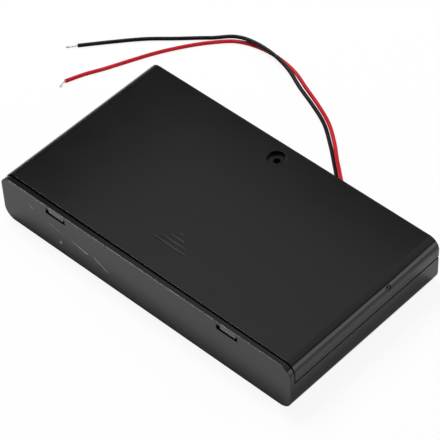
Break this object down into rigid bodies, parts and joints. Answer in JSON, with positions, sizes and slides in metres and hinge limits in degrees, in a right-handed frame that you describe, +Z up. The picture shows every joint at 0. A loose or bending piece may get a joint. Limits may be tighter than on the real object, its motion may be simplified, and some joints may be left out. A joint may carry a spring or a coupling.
{
  "type": "cylindrical cell holder",
  "caption": "Closed flat holder for a row of cylindrical cells in series, with a sliding cover held by latches and a screw, and red and black leads.",
  "frame": {"origin": "middle of the underside", "axes": "+X along the row of cells, +Y from the latch wall towards the wall with the leads, which is the way the cover slides off, +Z up"},
  "size_m": [0.1668, 0.1146, 0.0193],
  "materials": {
    "black_plastic": "black moulded ABS with a satin sheen and light scratches",
    "nickel_contact": "bright nickel plate",
    "nickel_spring": "bright nickel plate",
    "tin": "tinned, slightly dull",
    "black_insulation": "smooth soft insulation",
    "red_insulation": "smooth soft insulation"
  },
  "bodies": {
    "tray": {"base_tray": "black_plastic", "front_contact_1": "nickel_contact", "front_contact_2": "nickel_contact", "front_contact_3": "nickel_contact", "front_contact_4": "nickel_contact", "back_contact_1": "nickel_contact", "back_contact_2": "nickel_contact", "back_contact_3": "nickel_contact", "negative_terminal": "nickel_contact", "positive_terminal": "nickel_contact", "spring_1": "nickel_spring", "spring_2": "nickel_spring", "spring_3": "nickel_spring", "spring_4": "nickel_spring", "spring_5": "nickel_spring", "spring_6": "nickel_spring", "spring_7": "nickel_spring", "spring_8": "nickel_spring", "black_lead": "black_insulation", "black_lead_inside": "black_insulation", "black_tinned_end": "tin", "black_solder_joint": "tin", "red_lead": "red_insulation", "red_lead_inside": "red_insulation", "red_tinned_end": "tin", "red_solder_joint": "tin"},
    "cover": {"cover": "black_plastic"}
  },
  "joints": [
    {"name": "cover_slide", "type": "slide", "parent": "tray", "child": "cover", "axis": [0, 1, 0], "range_m": [0, 0.06]}
  ]
}
